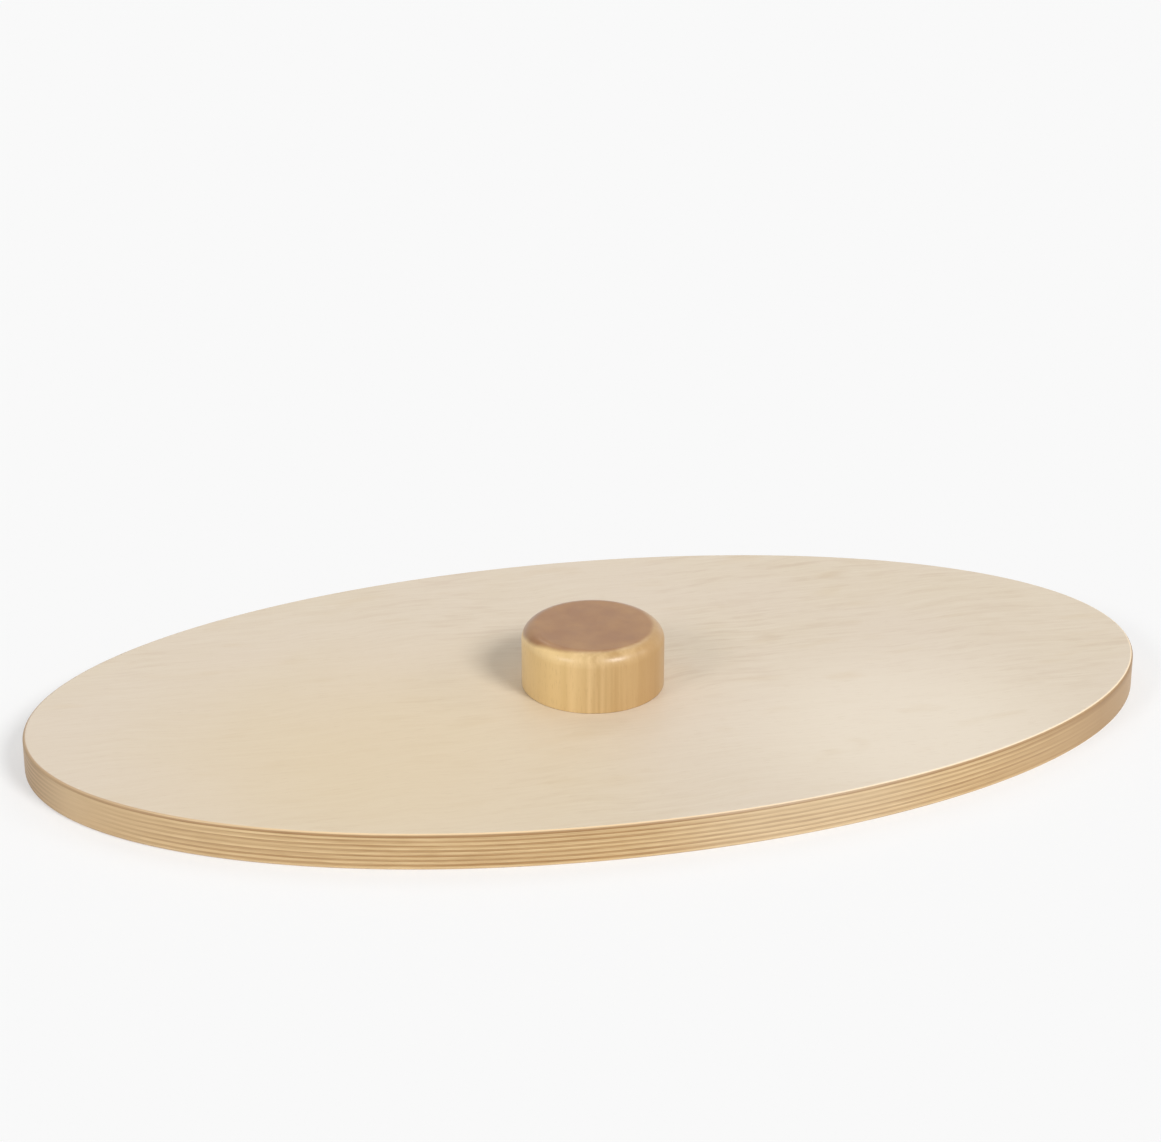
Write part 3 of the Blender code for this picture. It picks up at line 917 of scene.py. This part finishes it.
def plated_steel(name, colours, roughness):
    """Zinc plated steel: a soft shine, with cloudy tints from the passivation and fine drawn marks."""
    material, tree, shader = start_material(name, metallic=1.0)
    place = add(tree, "ShaderNodeTexCoord").outputs["Object"]
    # Clouds about 2.4 mm across, and marks of 0.4 mm, coarser than real so that they show
    clouds = add(tree, "ShaderNodeTexNoise", {"Vector": place, "Scale": 420.0, "Detail": 2.0})
    tint = add(
        tree, "ShaderNodeMapRange", {"Value": clouds.outputs[0], "From Min": 0.35, "From Max": 0.65}
    )
    colour = add(
        tree, "ShaderNodeMix",
        {MIX_FACTOR: tint.outputs[0], MIX_A: linear(colours[0]), MIX_B: linear(colours[1])},
        data_type="RGBA",
    )
    tree.links.new(colour.outputs[MIX_RESULT], shader.inputs["Base Color"])
    marks = add(tree, "ShaderNodeTexNoise", {"Vector": place, "Scale": 2600.0, "Detail": 2.0})
    rough = add(
        tree, "ShaderNodeMapRange",
        {
            "Value": marks.outputs[0], "From Min": 0.3, "From Max": 0.7,
            "To Min": roughness, "To Max": roughness + 0.15,
        },
    )
    tree.links.new(rough.outputs[0], shader.inputs["Roughness"])
    return material


def polished_steel():
    """Hardened bearing steel, ground and polished: a dark mirror with hair-fine scuffs from rolling."""
    material, tree, shader = start_material("polished_steel", metallic=1.0)
    place = add(tree, "ShaderNodeTexCoord").outputs["Object"]
    # Scuffs 0.4 mm wide and 1.4 mm long, coarser than real so that they show
    scuffed = add(
        tree, "ShaderNodeMapping",
        {"Vector": place, "Scale": (2400.0, 700.0, 1100.0), "Rotation": (0.5, 0.3, 0.8)},
    )
    scuffs = add(tree, "ShaderNodeTexNoise", {"Vector": scuffed.outputs[0], "Scale": 1.0, "Detail": 3.0})
    share = add(
        tree, "ShaderNodeMapRange",
        {"Value": scuffs.outputs[0], "From Min": 0.5, "From Max": 0.72, "To Min": 0.06, "To Max": 0.26},
    )
    tree.links.new(share.outputs[0], shader.inputs["Roughness"])
    colour = add(
        tree, "ShaderNodeMix",
        {MIX_FACTOR: scuffs.outputs[0], MIX_A: linear("#D4D6D9"), MIX_B: linear("#C4C6CA")},
        data_type="RGBA",
    )
    tree.links.new(colour.outputs[MIX_RESULT], shader.inputs["Base Color"])
    return material


# Pieces


def foot_cutters():
    """The holes for the foot's screws and dowel, which pass from the deck into the foot."""
    radius = DOWEL_RADIUS + FIT_GAP
    low, high = DOWEL_LOW.z - FIT_GAP, DOWEL_HIGH.z + FIT_GAP
    socket = turned([(0, low), (radius, low), (radius, high), (0, high)], HOLE_STEPS)
    return [*screw_holes(FOOT_SCREW, FOOT_SCREW_CIRCLE, FOOT_SCREW_PLACES, FOOT_SCREW_FACE), socket]


def make_deck():
    """The oval deck with the cover's rebate, the maze and the screws' and dowel's holes cut out."""
    ease = (DECK_EDGE_RADIUS, DECK_EDGE_FACETS)
    mesh = finished("deck", plate(DECK_RADII, 0, DECK_TOP, OVAL_STEPS, ease, ease))
    lip = REBATE_RADIUS + MOUTH_EASE
    rebate = [
        (0, -OVERRUN), (lip, -OVERRUN), (lip, 0),
        (REBATE_RADIUS, MOUTH_EASE), (REBATE_RADIUS, LEDGE), (0, LEDGE),
    ]
    cutters = [turned(rebate, COVER_STEPS)]
    for ring, radius in RING_RADII.items():
        margin = math.degrees(math.asin((2 * CHANNEL_HALF + STOP_WALL) / (2 * radius)))
        stops = STOPS[ring]
        for start, end in zip(stops, (*stops[1:], stops[0] + 360)):
            cutters.append(channel(radius, start + margin, end - margin))
    for (inner, outer), places in GATES.items():
        cutters += [gate(place, RING_RADII[inner], RING_RADII[outer]) for place in places]
    cutters += [pocket(place) for place in POCKETS]
    cutters += screw_holes(COVER_SCREW, COVER_SCREW_CIRCLE, COVER_SCREW_PLACES, COVER_SCREW_FACE)
    cutters += foot_cutters()
    deck = add_piece("deck", cut(mesh, cutters), birch_plywood(), "board", "board")
    even_shading(deck)


def make_foot():
    """The turned foot, on a thin line of glue."""
    bm = plate(
        (FOOT_RADIUS, FOOT_RADIUS), DECK_TOP + GLUE_LINE, FOOT_HIGH.z, FOOT_STEPS,
        (FOOT_BASE_EASE, EASE_FACETS), (FOOT_EDGE_RADIUS, FOOT_EDGE_FACETS),
    )
    material = beech(
        "turned_beech", ("#DABB89", "#B7945F", "#A98252"), "#F3D295", "#AF8855",
        ("#A37645", "#95673C"), 0.34, 0.45,
    )
    foot = add_piece(
        "foot", cut(finished("foot", bm), foot_cutters()), material,
        "board", "rocker_foot",
    )
    even_shading(foot)


def make_cover():
    """The clear disc that keeps the balls in."""
    ease = (COVER_EASE, EASE_FACETS)
    bm = plate((COVER_RADIUS, COVER_RADIUS), COVER_LOW.z, COVER_HIGH.z, COVER_STEPS, ease, ease)
    holes = list(screw_holes(COVER_SCREW, COVER_SCREW_CIRCLE, COVER_SCREW_PLACES, COVER_SCREW_FACE))
    cover = add_piece(
        "cover", cut(finished("cover", bm), holes), clear_acrylic(),
        "board", "maze_cover",
    )
    even_shading(cover)


def make_screw(screw):
    """A countersunk wood screw with a six-lobed recess and a rolled thread."""
    bm = turned(screw_section(screw), SCREW_STEPS)
    flat = [f for f in bm.faces if abs(f.calc_center_median().z) < 1e-9]
    face = bmesh.ops.dissolve_faces(bm, faces=flat)["region"][0]
    head, shank, pitch = screw["head"], screw["shank"], screw["pitch"]
    bmesh.ops.inset_region(bm, faces=[face], thickness=head / 2 - HEAD_EASE - RECESS_SHARE * head)
    for i, corner in enumerate(face.verts):
        valley = 0.5 - 0.5 * math.cos(math.tau * i / (SCREW_STEPS / LOBES))
        corner.co *= 1 - LOBE_DEPTH * valley
    for sink, share in RECESS_FLOORS:
        face = bmesh.ops.extrude_discrete_faces(bm, faces=[face])["faces"][0]
        bmesh.ops.translate(bm, verts=face.verts, vec=UP * sink * head)
        bmesh.ops.scale(bm, verts=face.verts, vec=(share, share, 1))
    # The thread is a ridge that winds up from past the neck to the point
    start = HEAD_RIM + head / 2 - shank / 2 + THREAD_START_SHARE * shank
    turns = (screw["length"] * (1 - POINT_SHARE) - start) / pitch
    root, half = THREAD_ROOT_SHARE * shank / 2 - THREAD_SUNK, THREAD_HALF_SHARE * pitch
    ridge = [(root, start - half), (shank / 2, start), (root, start + half)]
    points, _ = add_section(bm, ORIGIN, unit(0), ridge)
    thread = bm.faces.new(points)
    steps = math.ceil(turns * THREAD_STEPS)
    bmesh.ops.spin(
        bm, geom=[thread], cent=ORIGIN, axis=UP, dvec=UP * turns * pitch / steps,
        angle=math.tau * turns, steps=steps,
    )
    return bm


def make_screws(name, screw, circle, places, face, material):
    """A ring of screws, each left at its own turn by the driver."""
    for i, place in enumerate(places):
        bm = make_screw(screw)
        turn = Matrix.Rotation(math.radians(place * TURN_PER_PLACE), 3, "Z")
        bmesh.ops.rotate(bm, verts=bm.verts, cent=ORIGIN, matrix=turn)
        bmesh.ops.translate(bm, verts=bm.verts, vec=unit(place) * circle + UP * face)
        node = f"{name}_{i + 1}"
        add_piece(f"{node}_finished", finished(name, bm), material, "board", node)


def make_dowel():
    """A fluted beech dowel with tapered ends."""
    bm = bmesh.new()
    bmesh.ops.create_circle(
        bm, cap_ends=True, segments=DOWEL_FLUTES * FLUTE_STEPS, radius=DOWEL_RADIUS
    )
    face = bm.faces[:][0]
    bmesh.ops.translate(bm, verts=face.verts, vec=UP * DOWEL_LOW.z)
    bmesh.ops.scale(bm, verts=face.verts, vec=(DOWEL_END_SHARE, DOWEL_END_SHARE, 1))
    straight = DOWEL_HIGH.z - DOWEL_LOW.z - 2 * DOWEL_EASE
    rises = ((DOWEL_EASE, 1 / DOWEL_END_SHARE), (straight, 1.0), (DOWEL_EASE, DOWEL_END_SHARE))
    for rise, share in rises:
        grown = bmesh.ops.extrude_face_region(bm, geom=[face, *face.edges])["geom"]
        face = next(item for item in grown if isinstance(item, bmesh.types.BMFace))
        bmesh.ops.translate(bm, verts=face.verts, vec=UP * rise)
        bmesh.ops.scale(bm, verts=face.verts, vec=(share, share, 1))
    turn = 360 / DOWEL_FLUTES
    past_flute = {v: math.degrees(math.atan2(v.co.y, v.co.x)) % turn for v in bm.verts}
    grooves = [v for v, degrees in past_flute.items() if min(degrees, turn - degrees) < 0.001]
    depth = 1 - FLUTE_DEPTH / DOWEL_RADIUS
    bmesh.ops.scale(bm, verts=grooves, vec=(depth, depth, 1))
    material = beech(
        "dowel_beech", ("#DDBE8E", "#C9A270", "#A98052"), "#DDBE8E", "#C9A270",
        ("#C29A6C", "#B0875C"), 0.55, 0.0,
    )
    add_piece("dowel", finished("dowel", bm), material, "board", "foot_dowel")


def make_balls():
    """One ball in each ring, on the cover."""
    steel = polished_steel()
    for ring, radius in RING_RADII.items():
        bm = bmesh.new()
        bmesh.ops.create_icosphere(bm, subdivisions=BALL_SPLITS, radius=BALL_RADIUS)
        centre = unit(BALL_PLACES[ring]) * radius + UP * BALL_CENTRE
        bmesh.ops.translate(bm, verts=bm.verts, vec=centre)
        add_piece(
            f"steel_ball_{ring}", finished("ball", bm), steel,
            f"{ring}_ball", f"ball_{ring}",
        )


# Studio

# The light that falls on a level surface adds up to 1, so that a colour renders about as it is written
AMBIENT = 0.33
BACKGROUND = "#F9F9F9"
LAMPS = {
    # name: direction to the lamp, share of a level surface's light, width in degrees
    "key": ((0.39, -0.68, 0.62), 0.42, 19),
    "left": ((-0.74, -0.42, 0.50), 0.11, 16),
    "right": ((0.85, -0.24, 0.46), 0.03, 16),
    "strip_left": ((-0.15, 0.67, 0.73), 0.035, 18),
    "strip_middle": ((0.10, 0.42, 0.90), 0.04, 18),
    "strip_right": ((0.43, 0.53, 0.73), 0.035, 18),
    "under": ((-0.25, -0.35, -0.9), 0.55, 40),
}
# Floor: how many times as long as the board it is, how much plain background is mixed into its paint,
# and how far under the board's edge its opening starts
FLOOR_SIZE = 30.0
FLOOR_BACKDROP_SHARE = 0.5
FLOOR_HOLE_INSET = 2.6 * MM

# The share of a lamp's light that the floor lets through to what is nearer to it than the first
# distance. Past the second it lets none through.
FLOOR_NEAR_SHARE = 0.35
FLOOR_NEAR, FLOOR_NEAR_GONE = 0.5 * MM, 2.5 * MM

# Camera: where it stands, and how many degrees it looks down and to the right
CAMERA_PLACE = (-0.36505, -1.52577, 0.79988)
CAMERA_DOWN, CAMERA_RIGHT = 24.365, 13.202
CAMERA_LENS, CAMERA_SENSOR = 96.44, 36.0


def make_lamps():
    """Wide soft suns, each as strong as gives a level surface its share of the light."""
    for name, (direction, share, width) in LAMPS.items():
        towards = Vector(direction).normalized()
        data = bpy.data.lights.new(name, "SUN")
        data.energy = share * math.pi / abs(towards.z)
        data.angle = math.radians(width)
        lamp = bpy.data.objects.new(name, data)
        bpy.context.scene.collection.objects.link(lamp)
        lamp.rotation_euler = towards.to_track_quat("Z", "Y").to_euler()


def backdrop_rays(tree):
    """The rays' node, and 1 for rays that meet the background: camera, glossy and see-through ones."""
    rays = add(tree, "ShaderNodeLightPath")
    seen = rays.outputs["Is Camera Ray"]
    for kind in ("Is Glossy Ray", "Is Transmission Ray"):
        either = add(tree, "ShaderNodeMath", {0: seen, 1: rays.outputs[kind]}, operation="MAXIMUM")
        seen = either.outputs[0]
    return rays, seen


def make_world():
    """Even light from all sides, and the pale background for camera, glossy and see-through rays."""
    world = bpy.data.worlds.new("studio")
    bpy.context.scene.world = world
    world.use_nodes = True
    tree = world.node_tree
    tree.nodes.clear()
    _, seen = backdrop_rays(tree)
    light = add(tree, "ShaderNodeBackground", {"Color": linear("#FFFFFF"), "Strength": AMBIENT})
    backdrop = add(tree, "ShaderNodeBackground", {"Color": linear(BACKGROUND), "Strength": 1.0})
    mixed = add(tree, "ShaderNodeMixShader", {0: seen, 1: light.outputs[0], 2: backdrop.outputs[0]})
    add(tree, "ShaderNodeOutputWorld", {"Surface": mixed.outputs[0]})


def make_floor():
    """A pale matt floor with an opening under the board.

    Rays that see it meet its paint mixed with the plain background, which keeps the board's shadow
    on it faint. It is clear from below, so that the maze side can be seen too. It lets some of the
    light of the lamp under it through to the arris that nearly touches it.
    """
    bm = bmesh.new()
    bmesh.ops.create_circle(bm, segments=OVAL_STEPS, radius=1)
    opening = (DECK_RADII[0] - FLOOR_HOLE_INSET, DECK_RADII[1] - FLOOR_HOLE_INSET, 1)
    bmesh.ops.scale(bm, verts=bm.verts, vec=opening)
    grown = bmesh.ops.extrude_edge_only(bm, edges=bm.edges[:])["geom"]
    rim = [item for item in grown if isinstance(item, bmesh.types.BMVert)]
    bmesh.ops.scale(bm, verts=rim, vec=(FLOOR_SIZE, 2 * FLOOR_SIZE, 1))
    bmesh.ops.recalc_face_normals(bm, faces=bm.faces)
    if bm.faces[:][0].normal.z < 0:
        bmesh.ops.reverse_faces(bm, faces=bm.faces)
    mesh = bpy.data.meshes.new("floor")
    bm.to_mesh(mesh)
    bm.free()
    floor = bpy.data.objects.new("floor", mesh)
    bpy.context.scene.collection.objects.link(floor)
    material = bpy.data.materials.new("matt_floor_paint")
    material.use_nodes = True
    tree = material.node_tree
    tree.nodes.clear()
    paint = add(tree, "ShaderNodeBsdfDiffuse", {"Color": linear(BACKGROUND)})
    clear = add(tree, "ShaderNodeBsdfTransparent")
    side = add(tree, "ShaderNodeNewGeometry")
    rays, seen = backdrop_rays(tree)
    backdrop = add(tree, "ShaderNodeEmission", {"Color": linear(BACKGROUND), "Strength": 1.0})
    backdrop_share = add(
        tree, "ShaderNodeMath", {0: seen, 1: FLOOR_BACKDROP_SHARE}, operation="MULTIPLY"
    )
    painted = add(
        tree, "ShaderNodeMixShader",
        {0: backdrop_share.outputs[0], 1: paint.outputs[0], 2: backdrop.outputs[0]},
    )
    near = add(
        tree, "ShaderNodeMapRange",
        {
            "Value": rays.outputs["Ray Length"], "From Min": FLOOR_NEAR, "From Max": FLOOR_NEAR_GONE,
            "To Min": FLOOR_NEAR_SHARE, "To Max": 0.0,
        },
    )
    near_shadow = add(
        tree, "ShaderNodeMath", {0: near.outputs[0], 1: rays.outputs["Is Shadow Ray"]},
        operation="MULTIPLY",
    )
    passing = add(
        tree, "ShaderNodeMath", {0: side.outputs["Backfacing"], 1: near_shadow.outputs[0]},
        operation="MAXIMUM",
    )
    mixed = add(
        tree, "ShaderNodeMixShader",
        {0: passing.outputs[0], 1: painted.outputs[0], 2: clear.outputs[0]},
    )
    add(tree, "ShaderNodeOutputMaterial", {"Surface": mixed.outputs[0]})
    mesh.materials.append(material)


def make_camera():
    """The photograph's view: from the front and a little left, looking down at 24 degrees."""
    data = bpy.data.cameras.new("camera")
    data.sensor_fit, data.sensor_width, data.lens = "HORIZONTAL", CAMERA_SENSOR, CAMERA_LENS
    data.clip_start, data.clip_end = 0.05, 100.0
    camera = bpy.data.objects.new("camera", data)
    bpy.context.scene.collection.objects.link(camera)
    camera.location = CAMERA_PLACE
    camera.rotation_euler = (math.radians(90 - CAMERA_DOWN), 0, math.radians(-CAMERA_RIGHT))
    bpy.context.scene.camera = camera


make_deck()
make_foot()
make_cover()
make_screws(
    "cover_screw", COVER_SCREW, COVER_SCREW_CIRCLE, COVER_SCREW_PLACES, COVER_SCREW_FACE,
    plated_steel("zinc_plated_steel", ("#C9CCCF", "#B9BEC4"), 0.24),
)
make_screws(
    "foot_screw", FOOT_SCREW, FOOT_SCREW_CIRCLE, FOOT_SCREW_PLACES, FOOT_SCREW_FACE,
    plated_steel("yellow_zinc_steel", ("#D8BE74", "#C7A85E"), 0.26),
)
make_dowel()
make_balls()
make_lamps()
make_world()
make_floor()
make_camera()
bpy.context.scene.view_settings.view_transform = "Standard"
